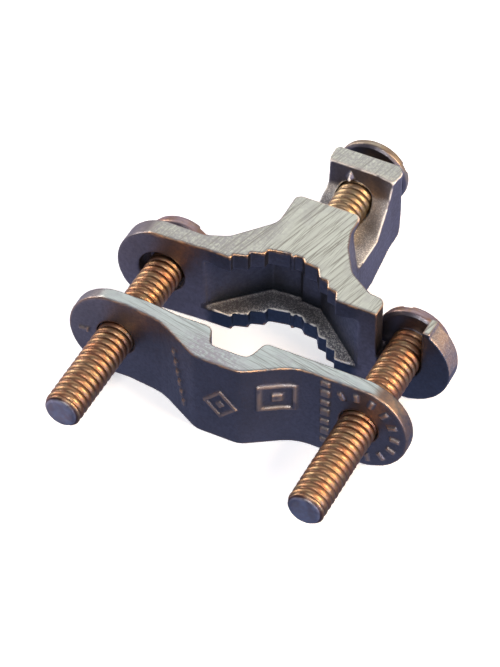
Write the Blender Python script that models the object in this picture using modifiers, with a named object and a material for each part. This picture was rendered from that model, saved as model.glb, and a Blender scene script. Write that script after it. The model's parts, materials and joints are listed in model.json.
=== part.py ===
"""Bronze pipe ground clamp: two cast jaws drawn together by two slotted pan-head screws, and a hooked wire
lug with its own screw on the upper jaw.

The origin is at the root of the neck, on the flat lower side of the upper jaw. X runs from ear to ear, Y along
the screws towards their heads, and Z up along the gripped pipe.
"""

import math

import bmesh
import bpy
from mathutils import Matrix, Vector

MM = 0.001
GAP = 0.3 * MM
BEYOND = 12 * MM  # how far an outline or a cutter runs past the casting
OVER = 2 * MM  # the same, where the neighbouring shape is close

# 1/4-20 UNC slotted pan-head screws
SCREW_R = 3.175 * MM
CLAMP_SCREW_LENGTH = 38.9 * MM
WIRE_SCREW_LENGTH = 12.95 * MM
TIP_CHAMFER = 0.7 * MM
HEAD_R = 6.2 * MM
HEAD_BEARING_R = 5.7 * MM
HEAD_BEVEL = 0.6 * MM
HEAD_LAND = 1.0 * MM
CLAMP_HEAD_HEIGHT = 3.6 * MM
WIRE_HEAD_HEIGHT = 2.5 * MM
SLOT_WIDTH = 1.7 * MM
LEFT_SLOT_ANGLE = 50
RIGHT_SLOT_ANGLE = 108
WIRE_SLOT_ANGLE = 25
TURNED_STEPS = 48
DOME_STEPS = 8

# Both jaws
HEIGHT = 16.4 * MM
SCREW_X = 21.07 * MM
LOBE_R = 8.3 * MM
LOBE_STEPS = 24
LEFT_HEAD_GAP = 1.6 * MM

# Upper jaw
EAR_FRONT_Y = -10.7 * MM
EAR_BACK_Y = -6.8 * MM
SADDLE_Y = 8.4 * MM
NECK_HALF_WIDTH = 6.2 * MM
SERRATIONS = ((9.3, -8.8), (6.8, -7.0), (4.5, -5.3), (1.5, -4.5))  # millimetres; the last is the crown
TREAD_RISE = 0.2 * MM
RIB_THICKNESS = 3.3 * MM
POCKET_HALF_WIDTH = 14.2 * MM
POCKET_WALL_Y = -1.3 * MM
POCKET_STEPS = 16
EAR_HOLE_R = 4.1 * MM
EAR_HOLE_X = -21.4 * MM
SLOT_LEFT_X = 16.85 * MM
SLOT_RIGHT_X = 24.6 * MM

# Wire lug
LUG_FRONT_Y = 17.5 * MM
LUG_BACK_Y = 21.8 * MM
LUG_FLOOR_Z = 6.9 * MM
LUG_HALF_WIDTH = 6.0 * MM
LUG_TOP_LEFT_X = -5.0 * MM
LUG_ROOT_LEFT_X = -6.2 * MM
LUG_TAPER_Z = 2 * MM
LUG_INSIDE_JAW = 4 * MM
WIRE_SCREW_Z = 10.4 * MM
WIRE_HEAD_Y = 23.5 * MM

# Lower jaw
STRAP_BACK_Y = -23.6 * MM
STRAP_THICKNESS = 2.9 * MM
GROOVE_X = -0.5 * MM
GROOVE_FLOOR_Y = -27.6 * MM
GROOVE_HALF_WIDTH = 3.9 * MM
GROOVE_FLARE = 0.35 * MM
BULGE_FRONT_Y = -31.4 * MM


def clear_scene():
    for obj in list(bpy.data.objects):
        bpy.data.objects.remove(obj)


def new_collection(name):
    collection = bpy.data.collections.new(name)
    bpy.context.scene.collection.children.link(collection)
    return collection


def new_material(name, colour, roughness):
    material = bpy.data.materials.new(name)
    material.use_nodes = True
    shader = material.node_tree.nodes["Principled BSDF"]
    shader.inputs["Base Color"].default_value = (*colour, 1.0)
    shader.inputs["Roughness"].default_value = roughness
    shader.inputs["Metallic"].default_value = 1.0
    return material


def arc(centre, radius, start, end, steps):
    """Points on a circle, from one angle to the other in radians."""
    angles = [start + (end - start) * i / steps for i in range(steps + 1)]
    return [Vector((centre[0] + radius * math.cos(a), centre[1] + radius * math.sin(a))) for a in angles]


def rounded(corners, degrees_per_step=15):
    """The outline through the corners (x, y, radius), each corner rounded by an arc of its radius."""
    points = []
    for i, (x, y, radius) in enumerate(corners):
        corner = Vector((x, y))
        if not radius:
            points.append(corner)
            continue
        before = (Vector(corners[i - 1][:2]) - corner).normalized()
        after = (Vector(corners[(i + 1) % len(corners)][:2]) - corner).normalized()
        half_angle = before.angle(after) / 2
        centre = corner + (before + after).normalized() * radius / math.sin(half_angle)
        first = corner + before * radius / math.tan(half_angle) - centre
        last = corner + after * radius / math.tan(half_angle) - centre
        turn = first.angle_signed(last)
        steps = max(2, round(abs(math.degrees(turn)) / degrees_per_step))
        for step in range(steps + 1):
            points.append(centre + Matrix.Rotation(-turn * step / steps, 2) @ first)
    return points


def outline_solid(name, points, low, high, axis, collection):
    """A flat outline extruded from low to high along the axis. The outline is in (X, Y), (X, Z) or (Y, Z)."""
    curve = bpy.data.curves.new(name, "CURVE")
    curve.dimensions = "2D"
    curve.fill_mode = "BOTH"
    curve.extrude = (high - low) / 2
    spline = curve.splines.new("POLY")
    spline.points.add(len(points) - 1)
    for point, place in zip(spline.points, points):
        point.co = (place[0], place[1], 0.0, 1.0)
    spline.use_cyclic_u = True
    guide = bpy.data.objects.new(name + "_outline", curve)
    bpy.context.scene.collection.objects.link(guide)
    mesh = bpy.data.meshes.new_from_object(guide.evaluated_get(bpy.context.evaluated_depsgraph_get()))
    bpy.data.objects.remove(guide)

    middle = (low + high) / 2
    frames = {
        "Z": Matrix.Translation((0, 0, middle)),
        "Y": Matrix.Translation((0, middle, 0)) @ Matrix.Rotation(math.radians(90), 4, "X"),
        "X": Matrix(((0, 0, 1, middle), (1, 0, 0, 0), (0, 1, 0, 0), (0, 0, 0, 1))),
    }
    work = bmesh.new()
    work.from_mesh(mesh)
    bmesh.ops.remove_doubles(work, verts=work.verts, dist=0.00001)
    bmesh.ops.transform(work, matrix=frames[axis], verts=work.verts)
    bmesh.ops.recalc_face_normals(work, faces=work.faces)
    work.to_mesh(mesh)
    work.free()
    mesh.name = name
    solid = bpy.data.objects.new(name, mesh)
    collection.objects.link(solid)
    return solid


def cylinder_y(name, x, z, radius, low, high, collection):
    """A round bar along Y."""
    mesh = bpy.data.meshes.new(name)
    work = bmesh.new()
    bmesh.ops.create_cone(
        work, cap_ends=True, segments=TURNED_STEPS, radius1=radius, radius2=radius, depth=high - low
    )
    place = Matrix.Translation((x, (low + high) / 2, z)) @ Matrix.Rotation(math.radians(90), 4, "X")
    bmesh.ops.transform(work, matrix=place, verts=work.verts)
    work.to_mesh(mesh)
    work.free()
    bar = bpy.data.objects.new(name, mesh)
    collection.objects.link(bar)
    return bar


def as_helper(obj):
    obj.hide_render = True
    obj.display_type = "WIRE"
    return obj


def combine(target, operation, other):
    modifier = target.modifiers.new(other.name, "BOOLEAN")
    modifier.operation = operation
    modifier.object = as_helper(other)


def finish(obj, material):
    obj.data.materials.append(material)
    obj.data.shade_smooth()
    obj.data.set_sharp_from_angle(angle=math.radians(30))


def move_origin(obj, place):
    """Puts the object's origin at the place and leaves its shape where it is."""
    obj.data.transform(Matrix.Translation(-Vector(place)))
    obj.location = place


def stadium_outline():
    """The jaws seen along the screws: two round lobes joined by flat ground sides."""
    tilt = math.asin(HEIGHT / 2 / LOBE_R)
    right = arc((SCREW_X, HEIGHT / 2), LOBE_R, -tilt, tilt, LOBE_STEPS)
    left = arc((-SCREW_X, HEIGHT / 2), LOBE_R, math.pi - tilt, math.pi + tilt, LOBE_STEPS)
    return right + left


def serrated_arch():
    """The pipe side of the upper jaw, left to right: steps that climb to the crown and down again."""
    left = []
    floor = EAR_FRONT_Y
    for x, y in SERRATIONS:
        left.append((-x * MM, floor))
        left.append((-x * MM, y * MM))
        floor = y * MM + TREAD_RISE
    right = [(-x, y) for x, y in reversed(left)]
    return [(x, y, 0) for x, y in left + right]


def pocket_outline(front):
    """The recess between the two ribs: open to the pipe side, with a bowed back wall."""
    points = [(-POCKET_HALF_WIDTH, front), (POCKET_HALF_WIDTH, front)]
    for i in range(POCKET_STEPS + 1):
        across = 1 - 2 * i / POCKET_STEPS
        wall = POCKET_WALL_Y + (EAR_FRONT_Y - POCKET_WALL_Y) * across * across
        points.append((POCKET_HALF_WIDTH * across, wall))
    return points


def upper_jaw(parts, helpers, material):
    end = SCREW_X + BEYOND
    plan = [(-end, EAR_FRONT_Y, 0)]
    plan += serrated_arch()
    plan += [
        (end, EAR_FRONT_Y, 0),
        (end, EAR_BACK_Y, 0),
        (14.2 * MM, EAR_BACK_Y, 2 * MM),
        (9.2 * MM, -3.6 * MM, 2.5 * MM),
        (NECK_HALF_WIDTH, 1.7 * MM, 2.5 * MM),
        (NECK_HALF_WIDTH, SADDLE_Y, 1.3 * MM),
        (-NECK_HALF_WIDTH, SADDLE_Y, 1.3 * MM),
        (-NECK_HALF_WIDTH, 1.6 * MM, 2.5 * MM),
        (-10.6 * MM, -4.4 * MM, 4 * MM),
        (-14.8 * MM, EAR_BACK_Y, 2 * MM),
        (-end, EAR_BACK_Y, 0),
    ]
    jaw = outline_solid("upper_jaw", rounded(plan), 0, HEIGHT, "Z", parts)
    front, back = EAR_FRONT_Y - BEYOND, SADDLE_Y + BEYOND
    lobes = outline_solid("upper_lobes", stadium_outline(), front, back, "Y", helpers)
    combine(jaw, "INTERSECT", lobes)
    combine(jaw, "UNION", wire_lug(helpers))

    top = HEIGHT - RIB_THICKNESS
    pocket = outline_solid("pocket", pocket_outline(front), RIB_THICKNESS, top, "Z", helpers)
    combine(jaw, "DIFFERENCE", pocket)

    ear_ends = (front, EAR_BACK_Y + OVER)
    hole = cylinder_y("ear_hole", EAR_HOLE_X, HEIGHT / 2, EAR_HOLE_R, *ear_ends, helpers)
    combine(jaw, "DIFFERENCE", hole)
    slot_x, slot_r = (SLOT_LEFT_X + SLOT_RIGHT_X) / 2, (SLOT_RIGHT_X - SLOT_LEFT_X) / 2
    slot_points = arc((slot_x, HEIGHT / 2), slot_r, math.pi, 2 * math.pi, LOBE_STEPS)
    slot_points += [(SLOT_RIGHT_X, HEIGHT + BEYOND), (SLOT_LEFT_X, HEIGHT + BEYOND)]
    combine(jaw, "DIFFERENCE", outline_solid("ear_slot", slot_points, *ear_ends, "Y", helpers))
    lug_ends = (SADDLE_Y + 2 * GAP, LUG_BACK_Y + OVER)
    bore = cylinder_y("lug_bore", 0, WIRE_SCREW_Z, SCREW_R + GAP, *lug_ends, helpers)
    combine(jaw, "DIFFERENCE", bore)
    finish(jaw, material)
    return jaw


def wire_lug(helpers):
    """The open hook behind the neck: a floor that rises into a plate, drawn from the side and from the front."""
    root_y = SADDLE_Y - LUG_INSIDE_JAW
    side = [
        (root_y, 0, 0),
        (12 * MM, 0, 2 * MM),
        (20.2 * MM, 2.8 * MM, 2 * MM),
        (LUG_BACK_Y, 11.5 * MM, 2 * MM),
        (LUG_BACK_Y, HEIGHT, 0),
        (LUG_FRONT_Y, HEIGHT, 0),
        (LUG_FRONT_Y, 12 * MM, 3 * MM),
        (13.6 * MM, LUG_FLOOR_Z, 2 * MM),
        (root_y, LUG_FLOOR_Z, 0),
    ]
    lug = outline_solid("wire_lug", rounded(side), -LUG_HALF_WIDTH, LUG_HALF_WIDTH, "X", helpers)
    front = [
        (-LUG_HALF_WIDTH - BEYOND, -BEYOND, 0),
        (LUG_HALF_WIDTH + BEYOND, -BEYOND, 0),
        (LUG_HALF_WIDTH + BEYOND, HEIGHT + BEYOND, 0),
        (LUG_TOP_LEFT_X, HEIGHT + BEYOND, 0),
        (LUG_TOP_LEFT_X, HEIGHT, 0),
        (LUG_ROOT_LEFT_X, LUG_TAPER_Z, 0),
        (-LUG_HALF_WIDTH - BEYOND, LUG_TAPER_Z, 0),
    ]
    taper = outline_solid("lug_taper", rounded(front), -BEYOND, LUG_BACK_Y + BEYOND, "Y", helpers)
    combine(lug, "INTERSECT", taper)
    return as_helper(lug)


def lower_jaw(parts, helpers, material):
    end = SCREW_X + BEYOND
    strap_front_y = STRAP_BACK_Y - STRAP_THICKNESS
    plan = [
        (-end, strap_front_y, 0),
        (GROOVE_X - 10.6 * MM, strap_front_y, 5 * MM),
        (GROOVE_X - 4.1 * MM, BULGE_FRONT_Y, 2.5 * MM),
        (GROOVE_X + 3.8 * MM, BULGE_FRONT_Y, 2.5 * MM),
        (GROOVE_X + 10.8 * MM, strap_front_y, 4 * MM),
        (end, strap_front_y, 0),
        (end, STRAP_BACK_Y, 0),
        (GROOVE_X + GROOVE_HALF_WIDTH + GROOVE_FLARE, STRAP_BACK_Y, 0.7 * MM),
        (GROOVE_X + GROOVE_HALF_WIDTH - GROOVE_FLARE, GROOVE_FLOOR_Y, 1.2 * MM),
        (GROOVE_X - GROOVE_HALF_WIDTH + GROOVE_FLARE, GROOVE_FLOOR_Y, 1.2 * MM),
        (GROOVE_X - GROOVE_HALF_WIDTH - GROOVE_FLARE, STRAP_BACK_Y, 0.7 * MM),
        (-end, STRAP_BACK_Y, 0),
    ]
    jaw = outline_solid("lower_jaw", rounded(plan), 0, HEIGHT, "Z", parts)
    front, back = BULGE_FRONT_Y - BEYOND, STRAP_BACK_Y + BEYOND
    combine(jaw, "INTERSECT", outline_solid("lower_lobes", stadium_outline(), front, back, "Y", helpers))
    for side, x in (("left", -SCREW_X), ("right", SCREW_X)):
        bore = cylinder_y("bore_" + side, x, HEIGHT / 2, SCREW_R + GAP, front, back, helpers)
        combine(jaw, "DIFFERENCE", bore)
    move_origin(jaw, (-SCREW_X, STRAP_BACK_Y, HEIGHT / 2))
    finish(jaw, material)
    return jaw


def driver_slot(name, head_height, helpers):
    """The cutter for a driver slot, as deep as half of the head."""
    mesh = bpy.data.meshes.new(name)
    work = bmesh.new()
    bmesh.ops.create_cube(work, size=1.0)
    bmesh.ops.scale(work, vec=(4 * HEAD_R, SLOT_WIDTH, head_height), verts=work.verts)
    bmesh.ops.translate(work, vec=(0, 0, head_height), verts=work.verts)
    work.to_mesh(mesh)
    work.free()
    slot = bpy.data.objects.new(name, mesh)
    helpers.objects.link(slot)
    return slot


def slotted_screw(name, place, length, head_height, slot_angle, parts, helpers, material):
    """A turned screw with its origin on its axis under the head, the head towards +Y.

    The driver slot lies at slot_angle from +X, towards +Z.
    """
    edge_r = head_height - HEAD_LAND
    profile = [(0.0, head_height)]
    profile += [tuple(p) for p in arc((HEAD_R - edge_r, HEAD_LAND), edge_r, math.pi / 2, 0, DOME_STEPS)]
    profile += [
        (HEAD_R, HEAD_BEVEL),
        (HEAD_BEARING_R, 0.0),
        (SCREW_R, 0.0),
        (SCREW_R, TIP_CHAMFER - length),
        (SCREW_R - TIP_CHAMFER, -length),
        (0.0, -length),
    ]
    mesh = bpy.data.meshes.new(name)
    work = bmesh.new()
    verts = [work.verts.new((r, 0.0, z)) for r, z in profile]
    for first, second in zip(verts, verts[1:]):
        work.edges.new((first, second))
    work.to_mesh(mesh)
    work.free()
    mesh.materials.append(material)
    screw = bpy.data.objects.new(name, mesh)
    parts.objects.link(screw)
    turned = screw.modifiers.new("turned", "SCREW")
    turned.axis = "Z"
    turned.steps = TURNED_STEPS
    turned.render_steps = TURNED_STEPS
    turned.use_merge_vertices = True
    turned.merge_threshold = 0.00001
    turned.use_smooth_shade = True
    slot = driver_slot(name + "_slot", head_height, helpers)
    combine(screw, "DIFFERENCE", slot)
    for obj in (screw, slot):
        obj.location = place
        obj.rotation_euler = (math.radians(-90), -math.radians(slot_angle), 0)
    return screw


def main():
    clear_scene()
    parts = new_collection("ground_clamp")
    helpers = new_collection("cutters")
    helpers.hide_render = True

    upper_jaw(parts, helpers, new_material("upper_casting", (0.36, 0.29, 0.21), 0.45))
    lower_jaw(parts, helpers, new_material("lower_casting", (0.34, 0.27, 0.20), 0.45))
    clamp_screws = (
        ("left", -SCREW_X, LEFT_HEAD_GAP, LEFT_SLOT_ANGLE),
        ("right", SCREW_X, GAP, RIGHT_SLOT_ANGLE),
    )
    for side, x, gap, slot_angle in clamp_screws:
        slotted_screw(
            "clamp_screw_" + side,
            (x, EAR_BACK_Y + gap, HEIGHT / 2),
            CLAMP_SCREW_LENGTH,
            CLAMP_HEAD_HEIGHT,
            slot_angle,
            parts,
            helpers,
            new_material("screw_" + side, (0.72, 0.43, 0.24), 0.3),
        )
    slotted_screw(
        "wire_screw",
        (0, WIRE_HEAD_Y, WIRE_SCREW_Z),
        WIRE_SCREW_LENGTH,
        WIRE_HEAD_HEIGHT,
        WIRE_SLOT_ANGLE,
        parts,
        helpers,
        new_material("screw_wire", (0.74, 0.46, 0.27), 0.3),
    )


main()
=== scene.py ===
import itertools
import json
import math

import bpy
import numpy as np
from mathutils import Matrix, Vector


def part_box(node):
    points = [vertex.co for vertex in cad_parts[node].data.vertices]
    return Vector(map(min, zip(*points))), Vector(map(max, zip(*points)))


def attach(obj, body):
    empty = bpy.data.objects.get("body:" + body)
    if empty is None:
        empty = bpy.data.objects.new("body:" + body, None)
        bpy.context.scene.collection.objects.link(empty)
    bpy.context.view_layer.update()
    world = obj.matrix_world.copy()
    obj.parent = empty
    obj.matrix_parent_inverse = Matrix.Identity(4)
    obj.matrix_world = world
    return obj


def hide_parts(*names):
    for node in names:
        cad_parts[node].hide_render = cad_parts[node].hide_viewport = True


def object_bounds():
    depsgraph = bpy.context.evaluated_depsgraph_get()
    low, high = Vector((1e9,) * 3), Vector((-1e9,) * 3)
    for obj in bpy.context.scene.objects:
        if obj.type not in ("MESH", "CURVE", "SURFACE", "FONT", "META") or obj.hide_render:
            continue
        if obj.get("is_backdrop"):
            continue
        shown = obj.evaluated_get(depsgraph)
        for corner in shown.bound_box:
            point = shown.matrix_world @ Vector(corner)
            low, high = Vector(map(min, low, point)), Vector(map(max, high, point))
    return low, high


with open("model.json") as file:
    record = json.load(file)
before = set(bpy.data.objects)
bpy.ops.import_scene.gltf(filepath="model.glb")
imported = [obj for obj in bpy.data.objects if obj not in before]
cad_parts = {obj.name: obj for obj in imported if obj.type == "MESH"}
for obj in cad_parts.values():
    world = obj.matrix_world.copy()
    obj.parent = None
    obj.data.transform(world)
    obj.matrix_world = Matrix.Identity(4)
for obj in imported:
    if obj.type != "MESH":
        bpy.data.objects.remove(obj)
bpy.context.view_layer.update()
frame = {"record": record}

# Lengths are in millimetres. The stage's and those that Nodes.along gives are in metres.
MM = 0.001

# Grid spacing of the fields that the castings and the screws are made from.
CAST_STEP = 0.2
SCREW_STEP = 0.13


def node_box(name):
    """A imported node's lowest and highest corners."""
    low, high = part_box(name)
    return np.array(low) / MM, np.array(high) / MM


UPPER_LOW, UPPER_HIGH = node_box("upper_jaw")
LOWER_LOW, LOWER_HIGH = node_box("lower_jaw")
RIGHT_LOW, RIGHT_HIGH = node_box("clamp_screw_right")
WIRE_LOW, WIRE_HIGH = node_box("wire_screw")
MOUNTS = {m["name"]: np.array(m["pos_m"]) / MM for m in frame["record"]["mounts"]}

HEIGHT = UPPER_HIGH[2]
MIDDLE_Z = HEIGHT / 2
SCREW_X = (RIGHT_LOW[0] + RIGHT_HIGH[0]) / 2
WIRE_Z = (WIRE_LOW[2] + WIRE_HIGH[2]) / 2
LOBE_R = UPPER_HIGH[0] - SCREW_X

# Screws: 1/4-20 thread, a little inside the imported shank. Every tapped hole is drawn with BORE_R.
SCREW_R = 3.16
BORE_R = 3.22
PITCH = 1.27
TIP_CHAMFER = 0.7
HEAD_R = 6.2
HEAD_SIDE = 1.15  # height of a head's straight side
PAN_HEIGHT = 3.6
WIRE_HEAD_HEIGHT = 2.5
LEFT_HEAD_BACK = 0.8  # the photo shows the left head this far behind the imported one

# Upper jaw. FRONT is towards the lower jaw, BACK towards the screws' heads.
EAR_FRONT = UPPER_LOW[1]
EAR_BACK = EAR_FRONT + 3.9
SADDLE = MOUNTS["wire_saddle"][1]
CROWN = MOUNTS["pipe_seat_crown"][1]
NECK_HALF = 6.2
SERRATIONS = (
    (-9.15, -9.5),
    (-9.15, -8.65),
    (-6.9, -7.95),
    (-6.9, -7.0),
    (-4.75, -6.3),
    (-4.55, CROWN - 0.7),
    (-1.1, CROWN),
    (-0.75, CROWN - 0.5),
    (-0.35, CROWN - 0.4),
    (-0.1, CROWN),
    (1.0, CROWN),
    (1.8, -5.35),
    (4.1, -5.5),
    (5.2, -7.25),
    (6.7, -7.4),
    (7.3, -8.75),
    (8.9, -9.0),
    (9.6, EAR_FRONT),
)
# The recess between the two serrated ribs: its back wall, the ribs' thickness and its half width.
POCKET = ((-13.6, -9.0), (-5.7, -1.3), (-0.8, -0.95), (-0.35, -1.65), (3.1, -1.9), (13.2, -10.4))
RIB = 3.3
POCKET_HALF = 14.2
EAR_HOLE = (-21.4, 4.1)  # its middle's x and its radius
SLOT_X = (16.85, 24.35)
SHOULDER_R = 1.9  # the rounded end of the arm beside the slot
LUG_FRONT = 17.5
LUG_BACK = UPPER_HIGH[1]
LUG_FLOOR = 6.9
LUG_HALF = 6.7

# Lower jaw: a strap with a bulge in the middle and a groove behind the bulge.
STRAP_BACK = LOWER_HIGH[1]
STRAP_FRONT = STRAP_BACK - 2.9
BULGE_FRONT = LOWER_LOW[1]
GROOVE_FLOOR = MOUNTS["pipe_seat_groove"][1]
MARK_RISE = 0.4


# ---------------------------------------------------------------- distance fields


def both(a, b, edge=0.0):
    """What two solids share, its meeting edge rounded."""
    return np.minimum(-edge, np.maximum(a, b)) + np.hypot(np.maximum(a + edge, 0), np.maximum(b + edge, 0))


def either(a, b, fillet=0.0):
    """Two solids joined, with a fillet between them."""
    return np.maximum(fillet, np.minimum(a, b)) - np.hypot(np.maximum(fillet - a, 0), np.maximum(fillet - b, 0))


def without(a, b, edge=0.0):
    """The first solid less the second."""
    return both(a, -b, edge)


def slab(v, low, high):
    """The space where v lies between low and high."""
    return np.abs(v - (low + high) / 2) - (high - low) / 2


def outline_distance(points, u, v):
    """Signed distance from (u, v) to a closed outline, negative inside."""
    u, v = np.broadcast_arrays(u, v)
    nearest = np.full(u.shape, 1e9)
    inside = np.zeros(u.shape, bool)
    for (ax, ay), (bx, by) in zip(points, points[1:] + points[:1]):
        dx, dy = bx - ax, by - ay
        along = np.clip(((u - ax) * dx + (v - ay) * dy) / (dx * dx + dy * dy), 0, 1)
        nearest = np.minimum(nearest, np.hypot(u - ax - along * dx, v - ay - along * dy))
        crosses = (ay > v) != (by > v)
        if dy:
            inside ^= crosses & (u < ax + (v - ay) * dx / dy)
    return np.where(inside, -nearest, nearest)


def rounded(corners, degrees_per_step=10):
    """The outline through the corners (x, y, radius), each corner rounded by an arc of its radius."""
    points = []
    for i, (x, y, radius) in enumerate(corners):
        corner = Vector((x, y))
        if not radius:
            points.append(tuple(corner))
            continue
        before = (Vector(corners[i - 1][:2]) - corner).normalized()
        after = (Vector(corners[(i + 1) % len(corners)][:2]) - corner).normalized()
        half = before.angle(after) / 2
        centre = corner + (before + after).normalized() * radius / math.sin(half)
        first = corner + before * radius / math.tan(half) - centre
        last = corner + after * radius / math.tan(half) - centre
        turn = first.angle_signed(last)
        steps = max(2, round(abs(math.degrees(turn)) / degrees_per_step))
        points += [tuple(centre + Matrix.Rotation(-turn * s / steps, 2) @ first) for s in range(steps + 1)]
    return points


def sampled(values, axes, points):
    """Values of a grid at points between its samples."""
    step = axes[0][1] - axes[0][0]
    place = (points - np.array([a[0] for a in axes])) / step
    cell = np.clip(place.astype(int), 0, np.array(values.shape) - 2)
    part = place - cell
    total = 0.0
    for corner in itertools.product((0, 1), repeat=3):
        weight = 1.0
        for k in range(3):
            weight = weight * (part[:, k] if corner[k] else 1 - part[:, k])
        total = total + weight * values[tuple((cell + corner).T)]
    return total


def grid(low, high, step):
    """Sample places along X, Y and Z, shaped so that they broadcast to a block."""
    axes = [np.arange(l - 2 * step, h + 2.5 * step, step) for l, h in zip(low, high)]
    return axes, axes[0][:, None, None], axes[1][None, :, None], axes[2][None, None, :]


def surface_of(field, axes):
    """The field's zero surface as points and quads: a point per mixed cell, at the mean of its edge crossings."""
    inside = field < 0
    size = np.array(field.shape) - 1
    corners = list(itertools.product((0, 1), repeat=3))
    count = np.zeros(size, np.int8)
    for i, j, k in corners:
        count += inside[i : size[0] + i, j : size[1] + j, k : size[2] + k]
    cells = np.argwhere((count > 0) & (count < 8))
    index = np.full(size, -1, np.int32)
    index[tuple(cells.T)] = np.arange(len(cells))
    values = {c: field[tuple((cells + c).T)] for c in corners}
    total, hits = np.zeros((len(cells), 3)), np.zeros(len(cells))
    for a, b in itertools.combinations(corners, 2):
        step = np.subtract(b, a)
        if np.abs(step).sum() != 1:
            continue
        crossed = (values[a] < 0) != (values[b] < 0)
        share = np.where(crossed, values[a] / np.where(crossed, values[a] - values[b], 1), 0)
        total += np.where(crossed[:, None], np.array(a) + share[:, None] * step, 0)
        hits += crossed
    spacing = axes[0][1] - axes[0][0]
    points = (cells + total / hits[:, None]) * spacing + np.array([a[0] for a in axes])

    quads = []
    for axis in range(3):
        b, c = np.eye(3, dtype=int)[(axis + 1) % 3], np.eye(3, dtype=int)[(axis + 2) % 3]
        first = np.take(inside, range(size[axis]), axis)
        second = np.take(inside, range(1, size[axis] + 1), axis)
        edges = np.argwhere(first != second)
        edges = edges[(edges[:, (axis + 1) % 3] > 0) & (edges[:, (axis + 2) % 3] > 0)]
        ring = [index[tuple((edges - o).T)] for o in (b + c, c, 0 * b, b)]
        ring = np.stack(ring, axis=1)
        outward = first[tuple(edges.T)]
        ring[~outward] = ring[~outward][:, ::-1]
        quads.append(ring)
    return points, np.concatenate(quads)


def smooth_noise(points, size, seed):
    """Smooth noise from -1 to 1 with features of about the given size."""
    place = points / size + 100
    cell = np.floor(place).astype(np.int64)
    part = place - cell
    part = part * part * (3 - 2 * part)
    total = 0.0
    for corner in itertools.product((0, 1), repeat=3):
        key = (cell + corner) @ np.array([374761393, 668265263, 2147483647]) + seed * 1274126177
        key = (key ^ (key >> 13)) * 1103515245 & 0x7FFFFFFF
        key = (key ^ (key >> 16)) * 1597334677 & 0x7FFFFFFF
        weight = 1.0
        for k in range(3):
            weight = weight * (part[:, k] if corner[k] else 1 - part[:, k])
        total = total + weight * (key / 0x3FFFFFFF - 1)
    return total


def blurred(field, step, reach):
    """How much of the neighbourhood within reach is solid, from 0 to 1."""
    solid = np.clip(0.5 - field / step, 0, 1).astype(np.float32)
    half = max(1, round(reach / step))
    for axis in range(3):
        first, last = np.take(solid, [0] * (half + 1), axis), np.take(solid, [-1] * half, axis)
        padded = np.concatenate([first, solid, last], axis)
        running = np.cumsum(padded, axis=axis, dtype=np.float64)
        width = 2 * half + 1
        upper = np.take(running, range(width, running.shape[axis]), axis)
        lower = np.take(running, range(0, running.shape[axis] - width), axis)
        solid = ((upper - lower) / width).astype(np.float32)
    return solid


def rise(value, low, high):
    """A smooth step from 0 at low to 1 at high."""
    t = np.clip((value - low) / (high - low), 0, 1)
    return t * t * (3 - 2 * t)


def new_mesh_object(name, points, quads, attributes, material):
    """A smooth-shaded mesh whose point attributes steer its material."""
    mesh = bpy.data.meshes.new(name)
    mesh.vertices.add(len(points))
    mesh.vertices.foreach_set("co", (points * MM).astype(np.float32).ravel())
    mesh.loops.add(len(quads) * 4)
    mesh.loops.foreach_set("vertex_index", quads.astype(np.int32).ravel())
    mesh.polygons.add(len(quads))
    mesh.polygons.foreach_set("loop_start", np.arange(len(quads), dtype=np.int32) * 4)
    mesh.update(calc_edges=True)
    mesh.validate()
    mesh.shade_smooth()
    for key, values in attributes.items():
        mesh.attributes.new(key, "FLOAT", "POINT").data.foreach_set("value", values.astype(np.float32))
    mesh.materials.append(material)
    obj = bpy.data.objects.new(name, mesh)
    bpy.context.scene.collection.objects.link(obj)
    return obj


# ---------------------------------------------------------------- castings


def jaw_sides(x, z):
    """Both jaws seen along the screws: round lobes at the ends."""
    reach = np.clip(x, -SCREW_X, SCREW_X)
    return np.hypot(x - reach, z - MIDDLE_Z) - LOBE_R


def upper_plan(saddle_corner):
    """The upper jaw from above. saddle_corner is the radius of the neck's right back corner."""
    end = 40  # beyond the lobes, which are cut by jaw_sides
    corners = [(-end, EAR_FRONT - 0.3, 0), (-13.8, EAR_FRONT + 1.1, 6)]
    corners += [(x, y, 0.22) for x, y in SERRATIONS]
    corners += [
        (end, EAR_FRONT, 0),
        (end, EAR_BACK, 0),
        (13.9, EAR_BACK, 2),
        (9.5, -3.9, 3),
        (6.5, 0.9, 3),
        (5.4, 4.2, 3),
        (5.35, SADDLE, saddle_corner),
        (-NECK_HALF, SADDLE, 1.3),
        (-NECK_HALF + 0.1, 1.3, 3),
        (-11.6, -5.0, 3),
        (-15.2, EAR_BACK + 0.3, 2.5),
        (-end, EAR_BACK + 0.45, 0),
    ]
    return rounded(corners)


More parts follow.
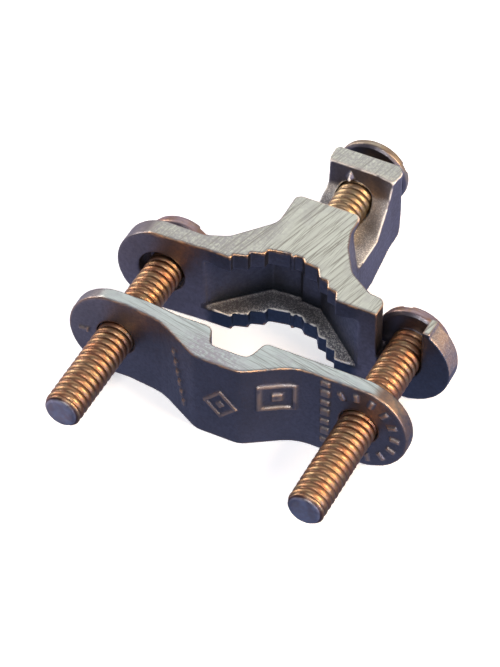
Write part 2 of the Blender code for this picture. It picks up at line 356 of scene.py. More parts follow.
def lug_field(x, y, z):
    """The wire hook behind the neck. Its channel is shallower at its open ends than in the middle."""
    root, top = -1.0, HEIGHT + 2
    back = [(root, 0, 0), (10.5, 0, 3), (19.9, 3.0, 2.5), (LUG_BACK, 11.5, 2), (LUG_BACK, top, 0)]
    middle = [(18.2, top, 0), (17.4, 12.2, 3), (13.4, LUG_FLOOR, 2.5), (root, LUG_FLOOR, 0)]
    ends = [(18.3, top, 0), (16.2, 13.3, 2), (13.0, 9.7, 1.5), (11.8, 8.2, 1), (root, 8.2, 0)]
    side = [outline_distance(rounded(back + front), y[0], z[0])[None] for front in (middle, ends)]
    toward_end = rise(x, 2.6, 6.7)
    side = side[0] + (side[1] - side[0]) * toward_end
    front = [(-20, -20), (20, -20), (20, 40), (-5.4, 40), (-5.4, HEIGHT), (-6.4, 4), (-20, 4)]
    seen_front = outline_distance(front, x[:, 0], z[:, 0])[:, None]
    plan = [
        (-NECK_HALF, root, 0),
        (LUG_HALF, root, 0),
        (LUG_HALF, 17.0, 3),
        (LUG_HALF + 0.4, 19.4, 1),
        (LUG_HALF + 0.4, LUG_BACK, 2.2),
        (-5.5, LUG_BACK, 1.4),
        (-5.5, 19.6, 1),
        (-4.9, 17.4, 1.5),
        (-NECK_HALF, 13.5, 3),
    ]
    plan = outline_distance(rounded(plan), x[..., 0], y[..., 0])[..., None]
    return both(both(side, seen_front, 0.3), plan, 0.4)


def neck_and_ears_field(x, y, z):
    """The upper jaw's solid arch. Lower down, the neck's right back corner is rounder and its side leans out."""
    at_top, below = [outline_distance(upper_plan(r), x[..., 0], y[..., 0])[..., None] for r in (1.3, 4.4)]
    plan = below + (at_top - below) * rise(z, 13.0, 15.8)
    draft = rise(x, 2, 4) * rise(y, -3, 1) * (1 - rise(y, 4.6, 5.8)) * np.clip((HEIGHT - z) / 8, 0, 1)
    return both(plan - 1.1 * draft, jaw_sides(x, z), 0.45)


def upper_jaw_field(x, y, z):
    """Arch, lug and burr, less the recess, the ear's hole, the slot and the wire screw's hole."""
    burr = np.abs(x + 1.1) + np.abs(y - 17.6) / 1.3 + np.abs(z - 14.2) / 2 - 0.75
    jaw = either(neck_and_ears_field(x, y, z), lug_field(x, y, z), 0.4)
    jaw = either(jaw, 0.6 * burr, 0.2)

    mouth = [(-POCKET_HALF, -40), *POCKET, (POCKET_HALF, -40)]
    pocket = outline_distance(mouth, x[..., 0], y[..., 0])[..., None]
    pocket = both(pocket, slab(z, RIB, HEIGHT - RIB), 0.45)
    jaw = without(jaw, pocket, 0.1 + 0.8 * rise(np.abs(x), 11, 13.5))

    ear = slab(y, EAR_FRONT - 5, EAR_BACK + 2)
    hole = np.hypot(x - EAR_HOLE[0], z - MIDDLE_Z) - EAR_HOLE[1] + 0.15 * np.clip(y - EAR_FRONT, 0, 4)
    jaw = without(jaw, both(hole, ear), 0.3)

    slot_x, slot_r = sum(SLOT_X) / 2, (SLOT_X[1] - SLOT_X[0]) / 2
    slot = np.hypot(x - slot_x, np.minimum(z - MIDDLE_Z, 0)) - slot_r
    shoulder_x, shoulder_y = SLOT_X[0] - SHOULDER_R, EAR_BACK - SHOULDER_R
    corner = SHOULDER_R - np.hypot(np.maximum(x - shoulder_x, 0), np.maximum(y - shoulder_y, 0))
    corner = both(corner, slab(x, shoulder_x, slot_x))
    jaw = without(jaw, both(corner, MIDDLE_Z - 1 - z + 0 * x), 0.25)
    finger_top = both(slab(x, SLOT_X[1] + 0.3, 25.7), slab(z, 12, 15.7), 0.2)
    finger_top = both(finger_top, slab(y, EAR_FRONT + 0.15, EAR_BACK - 0.15), 0.2)
    jaw = without(either(jaw, finger_top, 0.3), both(slot, ear), 0.3)

    bore = both(np.hypot(x, z - WIRE_Z) - BORE_R, slab(y, LUG_FRONT - 4.5, LUG_BACK + 5))
    jaw = without(jaw, bore, 0.3)
    return both(jaw, slab(z, 0, HEIGHT), 0.12)


def lower_plan():
    """The lower jaw from above."""
    end = 40
    corners = [
        (-end, STRAP_FRONT - 0.3, 0),
        (-19.0, STRAP_FRONT + 0.4, 6),
        (-12.6, STRAP_FRONT - 0.3, 8),
        (-4.6, BULGE_FRONT + 0.25, 4),
        (3.1, BULGE_FRONT + 0.25, 3.5),
        (10.5, STRAP_FRONT + 0.15, 8),
        (end, STRAP_FRONT + 0.15, 0),
        (end, STRAP_BACK, 0),
        (4.0, STRAP_BACK, 1.0),
        (2.9, GROOVE_FLOOR, 1.3),
        (-3.5, GROOVE_FLOOR, 1.3),
        (-4.8, STRAP_BACK - 0.5, 1.6),
        (-11.0, STRAP_BACK - 0.6, 6),
        (-16.0, STRAP_BACK, 6),
        (-end, STRAP_BACK, 0),
    ]
    return rounded(corners)


def lower_jaw_field(x, y, z):
    """The strap with its marks in front, less the two tapped holes."""
    plan = outline_distance(lower_plan(), x[..., 0], y[..., 0])[..., None]
    behind_marks = np.where(np.abs(x) < 4.5, GROOVE_FLOOR - 1.8, STRAP_BACK - 1.6)
    plan = plan - np.where(y < behind_marks, marks(x[:, 0], z[:, 0])[:, None], 0)
    jaw = both(plan, jaw_sides(x, z), 0.45)
    for side in (-1, 1):
        bore = np.hypot(x - side * SCREW_X, z - MIDDLE_Z) - BORE_R
        jaw = without(jaw, bore, 0.25)
    return both(jaw, slab(z, 0, HEIGHT), 0.12)


def marks(x, z):
    """How far plain cast marks stand out from the lower jaw's front: a lozenge, a bar frame and rows of dashes."""
    height = 0.0
    lozenge = np.abs(x + 0.1) + np.abs(z - 7.8)
    height = np.maximum(height, 1 - rise(np.abs(lozenge - 2.6), 0.25, 0.6))
    height = np.maximum(height, 1 - rise(lozenge, 0.6, 1.0))
    for across, up, wide, tall in straight_bars():
        bar = np.maximum(np.abs(x - across) - wide, np.abs(z - up) - tall)
        height = np.maximum(height, 1 - rise(bar, -0.1, 0.25))
    for i in range(9):  # dashes on a circle about the right screw
        turn = math.radians(118 - 24 * i)
        along = (x - SCREW_X) * math.cos(turn) + (z - MIDDLE_Z) * math.sin(turn)
        aside = (z - MIDDLE_Z) * math.cos(turn) - (x - SCREW_X) * math.sin(turn)
        dash = np.maximum(np.abs(along - 6.2) - 0.75, np.abs(aside) - 0.35)
        height = np.maximum(height, 1 - rise(dash, -0.1, 0.25))
    return MARK_RISE * height


def straight_bars():
    """(x, z, half width, half height) of the straight marks."""
    frame_x, frame_z = 8.2, 10.2
    bars = [(frame_x + side * 2.4, frame_z, 0.3, 2.6) for side in (-1, 1)]
    bars += [(frame_x, frame_z + side * 2.4, 2.4, 0.3) for side in (-1, 1)]
    bars += [(frame_x, frame_z, 0.7, 0.7)]
    bars += [(15.5, 2.6 + 2.1 * i, 0.75, 0.45 + 0.2 * (i % 2)) for i in range(7)]
    bars += [(-26.8, 8.2, 0.6, 0.3), (-25.9, 8.2, 0.2, 0.5)]
    bars += [(-9.4 + 0.42 * i, 12.6 - 1.8 * i, 0.35, 0.5) for i in range(6)]
    return bars


def casting(name, node, body, field_of, zones_of, seed, material):
    """A casting: its field's surface, with the skin of a sand casting except where it was ground flat."""
    low, high = node_box(node)
    axes, x, y, z = grid(low, high, CAST_STEP)
    field = field_of(x, y, z)
    points, quads = surface_of(field, axes)
    gradient = [
        sampled(field, axes, points + o) - sampled(field, axes, points - o) for o in np.eye(3) * CAST_STEP / 2
    ]
    gradient = np.stack(gradient, axis=1)
    normals = gradient / np.maximum(np.linalg.norm(gradient, axis=1), 1e-6)[:, None]
    solid_near = sampled(blurred(field, CAST_STEP, 0.5), axes, points)
    solid_around = sampled(blurred(field, CAST_STEP, 1.4), axes, points)

    depth = np.minimum(points[:, 2], HEIGHT - points[:, 2])
    flat = rise(np.abs(normals[:, 2]), 0.91, 0.985) * (depth < 1.1)
    skin = rise(depth, 0.05, 0.5) * (1 - flat)
    edge = rise(0.5 - solid_near, 0.06, 0.24)
    drift = smooth_noise(points, 1.3, seed + 4) + 0.5 * smooth_noise(points, 0.6, seed + 5)
    attributes = zones_of(points, normals, edge, drift)
    attributes["ground"] = flat
    # Painted shade: creases and hollows, where the solid around crowds in, are darkened.
    attributes["hollow_shade"] = np.maximum(attributes["hollow_shade"], rise(solid_around - 0.5, 0.0, 0.3))
    attributes["rough"] = attributes["rough"] * skin

    grain = smooth_noise(points, 0.55, seed) + 0.6 * smooth_noise(points, 0.3, seed + 1)
    waves = smooth_noise(points, 4.5, seed + 2) + 0.6 * smooth_noise(points, 2.0, seed + 3)
    pitted = (0.012 + 0.05 * attributes["rough"]) * (1 + grain / 1.6)
    inward = skin * (0.04 * (1 + waves / 1.6) + pitted)
    points = np.clip(points - normals * inward[:, None], low, high)
    obj = new_mesh_object(name, points, quads, attributes, material)
    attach(obj, body)
    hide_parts(node)
    return obj


def upper_zones(points, normals, edge, drift):
    """How the upper jaw's skin varies. The recess and the wire channel have rough floors and the channel floor is
    rubbed bare. Painted glints run along the ribs' and the lug's rims, and painted shade darkens the recess by its
    back wall, the arch's lower faces and the lug's front.
    """
    x, y, z = points.T
    from_top = HEIGHT - z
    front, up = -normals[:, 1], normals[:, 2]
    floor_like = rise(up, 0.2, 0.7)

    arch = (np.abs(x) < POCKET_HALF + 0.3) & (y > EAR_FRONT - 0.5) & (y < 0) & (front > -0.25)
    pocket = arch & (z > RIB - 0.5) & (from_top > RIB - 0.5)
    mouth = [(-POCKET_HALF, -40), *POCKET, (POCKET_HALF, -40)]
    from_wall = -outline_distance(mouth, x, y)
    # Painted shade on the recess floor, widest by its back wall at the left.
    shade = 1 - rise(x, 2, 8)
    shade_fade = rise(from_wall, 0.2 + 1.3 * shade, 1.2 + 3.8 * shade)
    pocket_painted_shade = (pocket & (up > 0)) * (0.6 + 0.75 * shade) * (1 - shade_fade)

    channel = (y > SADDLE - 3.5) & (y < LUG_FRONT + 1) & (x > -NECK_HALF) & (x < LUG_HALF + 0.3)
    channel &= (z > LUG_FLOOR - 1) & ((z < LUG_FLOOR + 2.6) | (y > SADDLE + 1))
    channel &= (normals[:, 0] < 0.6) & (front > -0.3) & (up > -0.3)
    lug_face = channel & (front > 0.5) & (y > SADDLE + 3)

    lobe_rim = (x > SLOT_X[1] + 0.5) & (np.abs(front) < 0.5) & (up > 0)
    rough = np.where(pocket, 0.12 + 0.88 * floor_like, 0.12)
    rough = np.where(channel, 0.15 + 0.85 * floor_like, rough)
    rough = np.maximum(rough, 0.5 * lobe_rim)

    # Painted shade: the arch's faces that do not face up are tinted dark blue, more so low down. The front faces
    # beyond the slot are tinted darker too.
    shade_and_tarnish = (arch & (up < 0.5)) * (0.5 + 0.5 * rise(MIDDLE_Z - z, 2, 5))
    shade_and_tarnish = shade_and_tarnish * rise(POCKET_HALF - np.abs(x), -0.3, 2)
    shade_and_tarnish = np.maximum(shade_and_tarnish, 0.75 * (x > SLOT_X[0]) * (front > 0.5))

    # Painted highlights: near-white glint lines along the ribs' and the lug's edges. The channel floor is partly
    # rubbed bare.
    rib_rim = arch & (np.abs(z - RIB) < 0.35)
    lug_rim = (y > SADDLE - 2) & (x > 0.5 - NECK_HALF) & (z > LUG_FLOOR - 1) & (y < LUG_BACK - 1.5)
    bare_and_glint = rise(edge, 0.0, 0.5) * (rib_rim | lug_rim) * rise(drift, -0.9, -0.2)
    bare_and_glint = np.maximum(bare_and_glint, 0.3 * channel * floor_like)

    lip = (front > 0.25) * rise(0.5 + 0.35 * drift - from_top, 0, 0.35) * (y < 0)
    outer = rise(0.9 - np.minimum(z, from_top), 0, 0.4) * (y < SADDLE - 0.5)
    return {
        "rough": rough,
        "shade_and_tarnish": shade_and_tarnish,
        "bare_and_glint": bare_and_glint,
        "wear": np.maximum(np.maximum(edge * outer, lip), 0.2 * lobe_rim),
        # painted shade on the recess floor and on the lug's front face
        "hollow_shade": np.maximum(pocket_painted_shade, 0.45 * lug_face),
    }


def lower_zones(points, normals, edge, drift):
    """How the lower jaw's skin varies. Its raised marks are rubbed, and its back faces are darkened with painted
    shade.
    """
    x, y, z = points.T
    front = -normals[:, 1]
    lobe_rim = (x > SCREW_X + 2) & (np.abs(front) < 0.5)
    lip = (front > 0.25) * rise(0.3 + 0.25 * drift - (HEIGHT - z), 0, 0.3)
    return {
        "rough": np.full(len(points), 0.12),
        # painted shade on the back faces that face the upper jaw, and a darker tint on the right lobe's rim
        "shade_and_tarnish": np.maximum(0.6 * (y > STRAP_BACK - 3.5) * (front < -0.5), 0.45 * lobe_rim),
        "bare_and_glint": 0.28 * marks(x, z) / MARK_RISE * (front > 0.3) * rise(drift, -1.0, -0.2),
        "wear": np.maximum(np.maximum(edge, lip), 0.25 * lobe_rim),
        "hollow_shade": np.zeros(len(points)),
    }


# ---------------------------------------------------------------- screws


def head_profile(height, rim):
    """Half of a pan head's section, mirrored about the axis, as (radius, height above the underside)."""
    shoulder = HEAD_SIDE + 0.15
    profile = [(-HEAD_R, 0.55), (0.45 - HEAD_R, 0), (HEAD_R - 0.45, 0), (HEAD_R, 0.55)]
    profile += [(HEAD_R, HEAD_SIDE), (HEAD_R - rim, shoulder)]
    for i in range(1, 24):
        angle = math.pi * i / 24
        crown = (height - shoulder) * math.sin(angle) ** 0.8
        profile.append(((HEAD_R - rim) * math.cos(angle), shoulder + crown))
    return profile + [(rim - HEAD_R, shoulder), (-HEAD_R, HEAD_SIDE)]


def screw_field(x, y, z, axis_x, axis_z, tip, under_head, top, slot_angle, rim):
    """A right-hand rolled thread with a flat tip and a slotted pan head."""
    across, up = x - axis_x, z - axis_z
    radius = np.hypot(across, up)
    turn = np.arctan2(across, up) / (2 * math.pi)
    from_crest = np.abs((y / PITCH - turn) % 1 - 0.5) * PITCH
    flank = 0.74 * (radius - SCREW_R + 0.9 * (from_crest - 0.28))
    thread = both(flank, radius - SCREW_R + 0 * flank, 0.2)
    chamfer = (radius + tip - y - SCREW_R + TIP_CHAMFER) / math.sqrt(2)
    dimple = 0.12 * (1 - rise(radius, 0.6, 1.9))
    thread = both(both(thread, chamfer, 0.08), tip + dimple - y, 0.12)
    thread = both(thread, y - under_head - 1, 0)

    height = top - under_head
    above = (y[0, :, 0] - under_head)[None]
    head = outline_distance(head_profile(height, rim), radius[:, 0, :].ravel()[:, None], above)
    head = head.reshape(radius.shape[0], radius.shape[2], -1).transpose(0, 2, 1)
    angle = math.radians(slot_angle)
    beside = up * math.cos(angle) - across * math.sin(angle) + 0 * y
    slot = both(np.abs(beside) - 0.85, under_head + height * 0.5 - y + 0 * beside)
    return either(thread, without(head, slot, 0.15), 0.25)


def screw(node, body, head_height, slot_angle, rim, seed, material, head_back=0.0):
    """A screw. head_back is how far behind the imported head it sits."""
    low, high = node_box(node)
    high[1] += head_back
    axis_x, axis_z = (low[0] + high[0]) / 2, (low[2] + high[2]) / 2
    axes, x, y, z = grid(low, high, SCREW_STEP)
    under_head = high[1] - head_height
    field = screw_field(x, y, z, axis_x, axis_z, low[1], under_head, high[1], slot_angle, rim)
    points, quads = surface_of(field, axes)
    solid_near = sampled(blurred(field, SCREW_STEP, 0.4), axes, points)
    radius = np.hypot(points[:, 0] - axis_x, points[:, 2] - axis_z)
    shank = 1 - rise(points[:, 1], under_head - 0.4, under_head)
    grain = smooth_noise(points, 0.4, seed)
    dents = smooth_noise(points, 1.6, seed + 1)
    outward = points - np.array([axis_x, 0, axis_z])
    outward[:, 1] = 0
    outward /= np.maximum(np.linalg.norm(outward, axis=1), 1e-6)[:, None]
    sunk = (0.012 * (1 + grain) + 0.02 * (1 + dents)) * rise(radius, 0.5, 2)
    points = np.clip(points - outward * sunk[:, None], low, high)
    crest = rise(radius, SCREW_R - 0.34, SCREW_R - 0.16)
    attributes = {
        "ground": 1 - rise(points[:, 1], low[1] + 0.12, low[1] + 0.3),
        "wear": rise(0.5 - solid_near, 0.06, 0.24),
        # painted shade, with some dirt, in the thread roots
        "hollow_shade": shank * (1 - crest) * rise(radius, 1.9, 2.3),
        "rough": 1 - shank,
        # painted shade under the head
        "shade_and_tarnish": (1 - shank) * rise(points[:, 1], under_head + 0.7, under_head + 0.3),
    }
    obj = new_mesh_object(node + "_threaded", points, quads, attributes, material)
    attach(obj, body)
    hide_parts(node)
    return obj


# ---------------------------------------------------------------- materials


class Nodes:
    """Short ways to wire a material's nodes."""

    def __init__(self, name):
        self.material = bpy.data.materials.new(name)
        self.material.use_nodes = True
        self.tree = self.material.node_tree
        self.shader = self.tree.nodes["Principled BSDF"]
        self.place = self.tree.nodes.new("ShaderNodeTexCoord").outputs["Object"]

    def put(self, socket, value):
        """Link a socket to another, or give it a plain value."""
        if isinstance(value, bpy.types.NodeSocket):
            self.tree.links.new(value, socket)
        elif isinstance(value, tuple) and len(value) == 3 and socket.type == "RGBA":
            socket.default_value = (*value, 1)
        else:
            socket.default_value = value

    def attribute(self, name):
        node = self.tree.nodes.new("ShaderNodeAttribute")
        node.attribute_name = name
        return node.outputs["Fac"]

    def along(self, axis):
        """The place along an axis of the frame, in metres."""
        node = self.tree.nodes.new("ShaderNodeSeparateXYZ")
        self.put(node.inputs[0], self.place)
        return node.outputs[axis]

    def math(self, operation, *values, clamp=False):
        node = self.tree.nodes.new("ShaderNodeMath")
        node.operation, node.use_clamp = operation, clamp
        for socket, value in zip(node.inputs, values):
            self.put(socket, value)
        return node.outputs[0]

    def span(self, value, low, high, to_low=0.0, to_high=1.0):
        """The value mapped from low..high to to_low..to_high, held within them."""
        node = self.tree.nodes.new("ShaderNodeMapRange")
        for socket, v in zip(node.inputs, (value, low, high, to_low, to_high)):
            self.put(socket, v)
        return node.outputs[0]

    def mix(self, share, first, second, blend="MIX"):
        node = self.tree.nodes.new("ShaderNodeMix")
        node.data_type, node.blend_type = "RGBA", blend
        self.put(node.inputs[0], share)
        self.put(node.inputs[6], first)
        self.put(node.inputs[7], second)
        return node.outputs[2]

    def noise(self, size, detail, stretch=(1, 1, 1), turn=0.0):
        """Noise from 0 to 1 with features of about the given size in millimetres."""
        mapping = self.tree.nodes.new("ShaderNodeMapping")
        mapping.vector_type = "TEXTURE"
        mapping.inputs["Rotation"].default_value = (0, 0, math.radians(turn))
        mapping.inputs["Scale"].default_value = [size * MM * s for s in stretch]
        self.put(mapping.inputs["Vector"], self.place)
        node = self.tree.nodes.new("ShaderNodeTexNoise")
        node.inputs["Scale"].default_value = 1.0
        node.inputs["Detail"].default_value = detail
        node.inputs["Roughness"].default_value = 0.6
        self.put(node.inputs["Vector"], mapping.outputs[0])
        return node.outputs["Fac"]

    def bump(self, height, distance, strength):
        node = self.tree.nodes.new("ShaderNodeBump")
        node.inputs["Distance"].default_value = distance * MM
        self.put(node.inputs["Strength"], strength)
        self.put(node.inputs["Height"], height)
        return node.outputs[0]

    def finish(self, colour, roughness, metallic, normal):
        """The finished material."""
        self.put(self.shader.inputs["Base Color"], colour)
        self.put(self.shader.inputs["Roughness"], roughness)
        self.put(self.shader.inputs["Metallic"], metallic)
        self.put(self.shader.inputs["Normal"], normal)
        return self.material


def cast_bronze(name, scratch_turn, ground_colours, skin_colours, bare_and_glint_colour, dull_of):
    """As-cast bronze with painted shade in its hollows and shaded faces, brassy wear on its edges, rubbed bare
    metal and painted glints on rims, painted glints in its rough grit, and scratched ground sides.
    """
    n = Nodes(name)
    ground, wear = n.attribute("ground"), n.attribute("wear")
    hollow_shade, rough = n.attribute("hollow_shade"), n.attribute("rough")

    patches = n.noise(7, 4)
    grain = n.noise(0.55, 4)
    speckle = n.noise(0.22, 2)
    skin = n.mix(n.span(patches, 0.35, 0.65), skin_colours[0], skin_colours[1])
    skin = n.mix(n.span(grain, 0.35, 0.75, 0, 0.55), skin, skin_colours[2])
    # Rough floors: dark grit whose near-white specks are painted glints.
    grit_and_glints = n.math("MULTIPLY", rough, n.span(speckle, 0.5, 0.62))
    skin = n.mix(rough, skin, n.mix(grit_and_glints, (0.24, 0.24, 0.26), (1.0, 0.98, 0.94)))
    # Painted shade: hollows and creases are darkened towards black.
    skin = n.mix(n.math("MULTIPLY", hollow_shade, 0.6), skin, (0.05, 0.045, 0.05))
    # Painted shade: shade_and_tarnish tints the skin dark blue.
    skin = n.mix(n.attribute("shade_and_tarnish"), skin, n.mix(1.0, skin, (0.26, 0.38, 0.48), "MULTIPLY"))
    # Rubbed bare metal, and on the upper jaw near-white painted glints along rims.
    skin = n.mix(n.attribute("bare_and_glint"), skin, bare_and_glint_colour)
    worn = n.math("MULTIPLY", wear, n.span(n.noise(1.6, 3), 0.3, 0.55), clamp=True)
    skin = n.mix(worn, skin, (0.80, 0.47, 0.25))

    long = n.noise(0.30, 3, (45, 1, 30), scratch_turn)
    broad = n.noise(1.1, 3, (14, 1, 14), scratch_turn)
    cross = n.noise(0.2, 2, (36, 1, 30), scratch_turn + 9)
    stain = n.noise(4, 5)
    dull = n.math("MULTIPLY", dull_of(n), n.span(n.noise(0.5, 5), 0.38, 0.6))
    top = n.mix(n.span(broad, 0.3, 0.7), ground_colours[0], ground_colours[1])
    top = n.mix(n.span(long, 0.54, 0.62, 0, 0.75), top, ground_colours[2])
    top = n.mix(n.span(cross, 0.58, 0.66, 0, 0.7), top, ground_colours[2])
    top = n.mix(n.span(stain, 0.52, 0.72, 0, 0.5), top, ground_colours[3])
    top = n.mix(dull, top, ground_colours[3])
    colour = n.mix(ground, skin, top)

    skin_rough = n.span(grain, 0.3, 0.7, 0.36, 0.52)
    top_rough = n.span(long, 0.3, 0.7, 0.34, 0.5)
    roughness = n.span(ground, 0, 1, skin_rough, top_rough)
    scratches = n.math("ADD", long, n.math("MULTIPLY", cross, 0.7))
    height = n.span(ground, 0, 1, n.math("ADD", grain, n.math("MULTIPLY", speckle, 0.5)), scratches)
    normal = n.bump(height, 0.05, n.span(ground, 0, 1, n.span(rough, 0, 1, 0.5, 1.0), 0.6))
    metallic = n.math("MULTIPLY", n.span(hollow_shade, 0, 1, 1.0, 0.8), n.span(rough, 0.2, 1, 1.0, 0.3))
    metallic = n.math("MULTIPLY", metallic, n.span(n.attribute("bare_and_glint"), 0, 1, 1.0, 0.0))
    return n.finish(colour, roughness, metallic, normal)


def rolled_bronze(name, base, dark, bright, head_colour):
    """Copper-coloured rolled screws: painted shade with some dirt in the thread roots, rubbed crests, a slightly
    pitted head with painted shade beneath it.
    """
    n = Nodes(name)
    wear, hollow_shade, head = n.attribute("wear"), n.attribute("hollow_shade"), n.attribute("rough")
    patches = n.noise(3.5, 4)
    grain = n.noise(0.4, 4)
    colour = n.mix(n.span(patches, 0.35, 0.68), base, bright)
    colour = n.mix(n.span(n.noise(1.2, 3), 0.46, 0.62, 0, 0.45), colour, (0.37, 0.33, 0.18))
    colour = n.mix(n.span(grain, 0.45, 0.8, 0, 0.5), colour, dark)
    # Painted shade, with some dirt, in the thread roots.
    colour = n.mix(n.math("MULTIPLY", hollow_shade, 0.8), colour, (0.12, 0.075, 0.085))
    colour = n.mix(n.math("MULTIPLY", wear, 0.35), colour, (0.85, 0.62, 0.42))
    oxide = n.math("MULTIPLY", head, n.span(n.noise(2.2, 3), 0.42, 0.58, 0.35, 0.9))
    colour = n.mix(oxide, colour, head_colour)
    cut = n.math("MULTIPLY", n.attribute("ground"), n.span(n.noise(1.6, 3), 0.36, 0.6, 0.55, 0.95))
    colour = n.mix(cut, colour, (0.60, 0.60, 0.64))
    # Painted shade under the head.
    colour = n.mix(n.attribute("shade_and_tarnish"), colour, (0.16, 0.15, 0.17))
    roughness = n.span(grain, 0.3, 0.75, 0.34, 0.5)
    strength = n.span(head, 0, 1, 0.35, 0.8)
    normal = n.bump(grain, 0.04, strength)
    return n.finish(colour, roughness, 1.0, normal)


# ---------------------------------------------------------------- stage


def floor_material():
    """Pale to the camera; to every other ray it glows with a painted reflection, dark blue in front of the clamp,
    lilac behind it and at the left.
    """
    n = Nodes("pale_floor")
    new, link = n.tree.nodes.new, n.tree.links.new
    n.put(n.shader.inputs["Roughness"], 0.9)
    n.put(n.shader.inputs["Base Color"], (0.9, 0.9, 0.9))
    glow = new("ShaderNodeEmission")
    glow.inputs["Strength"].default_value = 0.55
    shown = new("ShaderNodeAddShader")
    link(n.shader.outputs[0], shown.inputs[0])
    link(glow.outputs[0], shown.inputs[1])

    # Painted reflection: this emission is seen by every ray but the camera's, its colour set by place.
    behind = n.span(n.along("Y"), -0.05, 0.03)
    at_left = n.span(n.along("X"), -0.022, -0.04)
    painted_reflection = new("ShaderNodeEmission")
    around = n.mix(behind, (0.115, 0.14, 0.26), (0.42, 0.46, 0.74))
    n.put(painted_reflection.inputs["Color"], n.mix(at_left, around, (0.56, 0.54, 0.76)))

    pick = new("ShaderNodeMixShader")
    link(new("ShaderNodeLightPath").outputs["Is Camera Ray"], pick.inputs[0])
    link(painted_reflection.outputs[0], pick.inputs[1])
    link(shown.outputs[0], pick.inputs[2])
    link(pick.outputs[0], n.tree.nodes["Material Output"].inputs["Surface"])
    return n.material


def floor():
    """A plain sheet just under the clamp."""
    mesh = bpy.data.meshes.new("floor")
    reach, z = 1.5, (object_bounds()[0][2] / MM - 0.02) * MM
    corners = [(-reach, -reach, z), (reach, -reach, z), (reach, reach, z), (-reach, reach, z)]
    mesh.from_pydata(corners, [], [(0, 1, 2, 3)])
    mesh.materials.append(floor_material())
    obj = bpy.data.objects.new("floor", mesh)
    bpy.context.scene.collection.objects.link(obj)
    obj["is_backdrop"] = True


def softbox(name, place, size, power, colour):
    """A rectangular light aimed at the clamp."""
    light = bpy.data.lights.new(name, "AREA")
    light.shape = "RECTANGLE"
    light.size, light.size_y = size
    light.energy, light.color = power, colour
    obj = bpy.data.objects.new(name, light)
    obj.location = place
    aim = Vector((0, -0.01, 0.008))
    obj.rotation_euler = (aim - Vector(place)).to_track_quat("-Z", "Y").to_euler()
    bpy.context.scene.collection.objects.link(obj)


def studio():
    """Soft boxes, and a backdrop that is dark in front of the clamp and grey behind it."""
    softbox("top_back", (-0.10, 0.42, 0.42), (0.5, 0.4), 0.54, (0.98, 1.0, 0.95))
    softbox("rim_right", (0.42, 0.36, 0.19), (0.22, 0.16), 0.31, (1.0, 0.73, 0.40))
    softbox("front_top", (0.12, -0.40, 0.42), (0.15, 0.15), 1.2, (1.0, 0.99, 0.97))
    softbox("key_right", (0.42, -0.05, 0.30), (0.16, 0.22), 2.5, (1.0, 0.72, 0.45))
    softbox("fill_low_right", (0.40, -0.20, 0.05), (0.3, 0.1), 0.5, (0.62, 0.66, 1.0))
    softbox("fill_left", (-0.45, 0.10, 0.22), (0.2, 0.3), 1.3, (1.0, 0.90, 0.82))

    world = bpy.data.worlds.new("studio")
    world.use_nodes = True
    new, link = world.node_tree.nodes.new, world.node_tree.links.new
    split = new("ShaderNodeSeparateXYZ")
    link(new("ShaderNodeTexCoord").outputs["Generated"], split.inputs[0])
    reach = new("ShaderNodeMapRange")
    reach.inputs["From Min"].default_value, reach.inputs["From Max"].default_value = -1, 1
    link(split.outputs["Y"], reach.inputs[0])
    ramp = new("ShaderNodeValToRGB")
    link(reach.outputs[0], ramp.inputs[0])
    stops = ((0.0, (0.04, 0.045, 0.09)), (0.45, (0.16, 0.16, 0.24)), (1.0, (0.50, 0.47, 0.50)))
    ramp.color_ramp.elements.new(stops[1][0])
    for element, (at, colour) in zip(ramp.color_ramp.elements, stops):
        element.position, element.color = at, (*colour, 1)
    link(ramp.outputs[0], world.node_tree.nodes["Background"].inputs["Color"])
    bpy.context.scene.world = world


def main_camera():
    """The photograph's view: its direction, aim, distance and lens come from a fit to the object's outlines."""
    azimuth, elevation, roll = math.radians(26.70), math.radians(45.95), math.radians(-0.22)
    back = Vector((
        math.sin(azimuth) * math.cos(elevation),
        -math.cos(azimuth) * math.cos(elevation),
        math.sin(elevation),
    ))
    right = Vector((math.cos(azimuth), math.sin(azimuth), 0))
    up = back.cross(right)
    aim, distance = Vector((-0.35, -20.3, 13.3)) * MM, 0.4922
    camera = bpy.data.objects.new("camera", bpy.data.cameras.new("camera"))
    camera.data.lens = 171.36
    camera.data.clip_start = 0.01
    turned = Matrix((right, up, back)).transposed().to_4x4() @ Matrix.Rotation(roll, 4, "Z")
    camera.matrix_world = Matrix.Translation(aim + back * distance) @ turned
    bpy.context.scene.collection.objects.link(camera)
    bpy.context.scene.camera = camera
    bpy.context.scene.view_settings.view_transform = "Standard"


# ---------------------------------------------------------------- the object


def dull_ear_and_lug(n):
    """Where the upper jaw's ground side kept some cast skin: over the left ear and on the lug."""
    left_ear = n.span(n.along("X"), -0.0025, -0.010)
    return n.math("MAXIMUM", left_ear, n.span(n.along("Y"), 0.0165, 0.0175, 0, 0.85))


def dull_groove(n):
    """The same for the lower jaw, beside its groove."""
    from_groove = n.math("ABSOLUTE", n.math("ADD", n.along("X"), 0.0025))
    return n.math("MULTIPLY", n.span(from_groove, 0.006, 0.003), n.span(n.along("Y"), -0.0255, -0.0275))


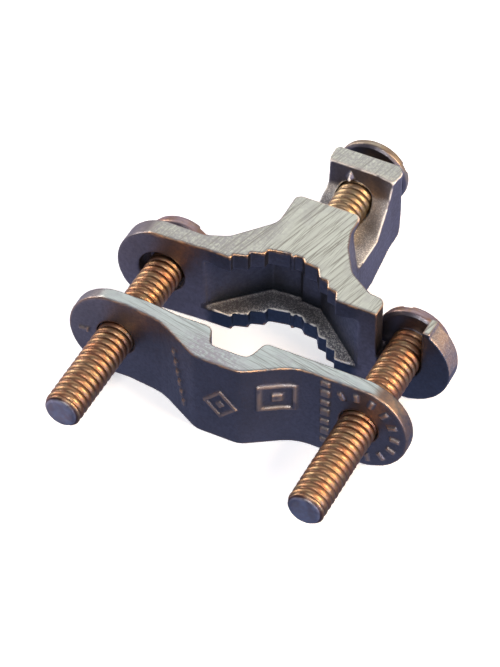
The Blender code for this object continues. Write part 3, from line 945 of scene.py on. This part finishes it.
UPPER_BRONZE = cast_bronze(
    "upper_cast_bronze",
    scratch_turn=74,
    ground_colours=((0.56, 0.57, 0.50), (0.67, 0.69, 0.60), (0.27, 0.26, 0.22), (0.41, 0.40, 0.39)),
    skin_colours=((0.19, 0.165, 0.165), (0.24, 0.22, 0.24), (0.13, 0.12, 0.135)),
    bare_and_glint_colour=(1.0, 0.96, 0.86),
    dull_of=dull_ear_and_lug,
)
LOWER_BRONZE = cast_bronze(
    "lower_cast_bronze",
    scratch_turn=-14,
    ground_colours=((0.50, 0.57, 0.55), (0.64, 0.70, 0.68), (0.31, 0.33, 0.31), (0.42, 0.40, 0.44)),
    skin_colours=((0.19, 0.18, 0.18), (0.245, 0.23, 0.24), (0.14, 0.125, 0.14)),
    bare_and_glint_colour=(0.58, 0.42, 0.29),
    dull_of=dull_groove,
)
CLAMP_BRONZE = rolled_bronze(
    "clamp_screw_bronze",
    base=(0.41, 0.18, 0.09),
    dark=(0.24, 0.12, 0.09),
    bright=(0.43, 0.27, 0.15),
    head_colour=(0.40, 0.31, 0.34),
)
WIRE_BRONZE = rolled_bronze(
    "wire_screw_bronze",
    base=(0.42, 0.27, 0.15),
    dark=(0.24, 0.15, 0.10),
    bright=(0.47, 0.35, 0.21),
    head_colour=(0.44, 0.38, 0.30),
)

upper = casting("upper_jaw_casting", "upper_jaw", "upper_jaw_body", upper_jaw_field, upper_zones, 11, UPPER_BRONZE)
lower = casting("lower_jaw_casting", "lower_jaw", "lower_jaw_body", lower_jaw_field, lower_zones, 23, LOWER_BRONZE)

# Node, body, head height, slot angle, rim width, seed, material.
left_height = PAN_HEIGHT + LEFT_HEAD_BACK / 2
left = screw("clamp_screw_left", "left_screw_body", left_height, 50, 0.12, 31, CLAMP_BRONZE, LEFT_HEAD_BACK)
right = screw("clamp_screw_right", "right_screw_body", PAN_HEIGHT, 108, 0.12, 47, CLAMP_BRONZE)
wire = screw("wire_screw", "wire_screw_body", WIRE_HEAD_HEIGHT, 25, 0.05, 59, WIRE_BRONZE)

floor()
studio()
main_camera()
